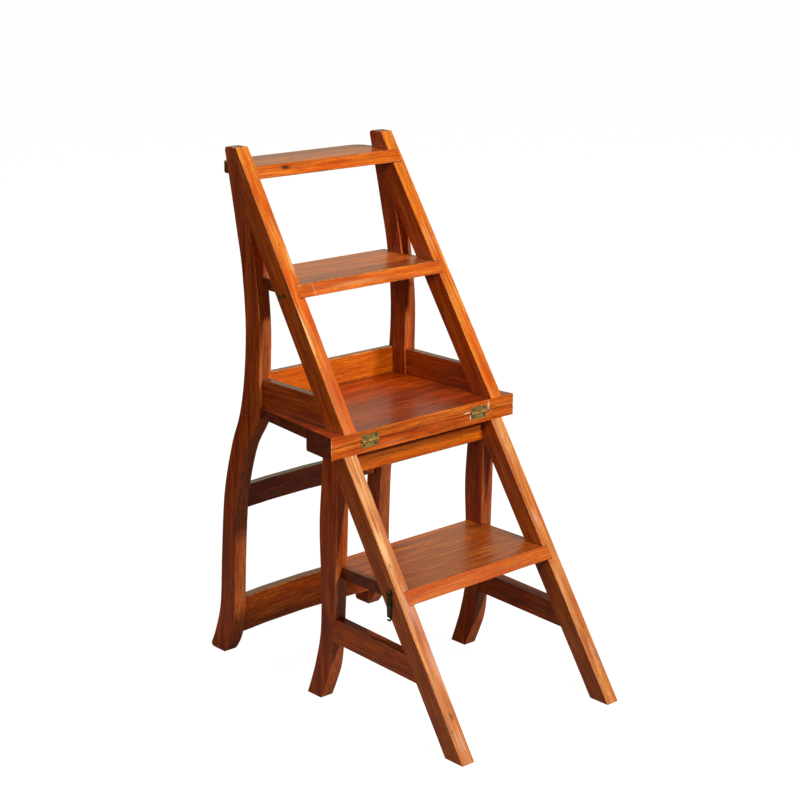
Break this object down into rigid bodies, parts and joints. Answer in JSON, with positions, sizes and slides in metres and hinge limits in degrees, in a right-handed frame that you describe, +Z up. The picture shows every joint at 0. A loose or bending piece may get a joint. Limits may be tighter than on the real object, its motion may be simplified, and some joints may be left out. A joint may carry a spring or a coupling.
{
  "type": "folding library steps chair",
  "caption": "Lacquered wooden library chair turned over into library steps: housed treads, curved back posts, sabre front legs, butt hinges on the seat edge and swinging latch hooks.",
  "frame": {"origin": "on the floor, at the centre of the part's footprint box in the open ladder position", "axes": "+Z up, +X across the treads, +Y away from the climber, from the stringers' toes towards the back posts"},
  "size_m": [0.406, 0.641, 0.894],
  "materials": {
    "frame_wood": "glossy orange-brown lacquer on solid hardwood",
    "board_wood": "glossy orange-brown lacquer on glued-up hardwood boards",
    "hinge_brass": "dull worn brass",
    "latch_steel": "dark oxidised steel"
  },
  "bodies": {
    "lower_frame": {"seat_front": "board_wood", "lower_tread": "board_wood", "front_rail": "frame_wood", "lower_stringer_left": "frame_wood", "front_leg_left": "frame_wood", "side_stretcher_left": "frame_wood", "hinge_leaf_lower_left": "hinge_brass", "hinge_pin_left": "hinge_brass", "hinge_screw_lower_left_1": "hinge_brass", "hinge_screw_lower_left_2": "hinge_brass", "hook_screw_left": "latch_steel", "lower_stringer_right": "frame_wood", "front_leg_right": "frame_wood", "side_stretcher_right": "frame_wood", "hinge_leaf_lower_right": "hinge_brass", "hinge_pin_right": "hinge_brass", "hinge_screw_lower_right_1": "hinge_brass", "hinge_screw_lower_right_2": "hinge_brass", "hook_screw_right": "latch_steel"},
    "upper_frame": {"seat_rear": "board_wood", "middle_tread": "board_wood", "top_tread": "board_wood", "seat_rail_back": "frame_wood", "mid_rail": "frame_wood", "crest_rail": "frame_wood", "upper_stringer_left": "frame_wood", "post_left": "frame_wood", "seat_rail_left": "frame_wood", "hinge_leaf_upper_left": "hinge_brass", "hinge_screw_upper_left_1": "hinge_brass", "hinge_screw_upper_left_2": "hinge_brass", "latch_stud_left": "latch_steel", "upper_stringer_right": "frame_wood", "post_right": "frame_wood", "seat_rail_right": "frame_wood", "hinge_leaf_upper_right": "hinge_brass", "hinge_screw_upper_right_1": "hinge_brass", "hinge_screw_upper_right_2": "hinge_brass", "latch_stud_right": "latch_steel"},
    "hook_left": {"latch_hook_left": "latch_steel"},
    "hook_right": {"latch_hook_right": "latch_steel"}
  },
  "joints": [
    {"name": "fold", "type": "hinge", "parent": "lower_frame", "child": "upper_frame", "pos_m": [0, -0.043, 0.45], "axis": [1, 0, 0], "range_deg": [0, 180]},
    {"name": "hook_left_swing", "type": "hinge", "parent": "lower_frame", "child": "hook_left", "pos_m": [-0.1785, -0.15176, 0.236], "axis": [-1, 0, 0], "range_deg": [0, 84]},
    {"name": "hook_right_swing", "type": "hinge", "parent": "lower_frame", "child": "hook_right", "pos_m": [0.1785, -0.15176, 0.236], "axis": [-1, 0, 0], "range_deg": [0, 84]}
  ]
}
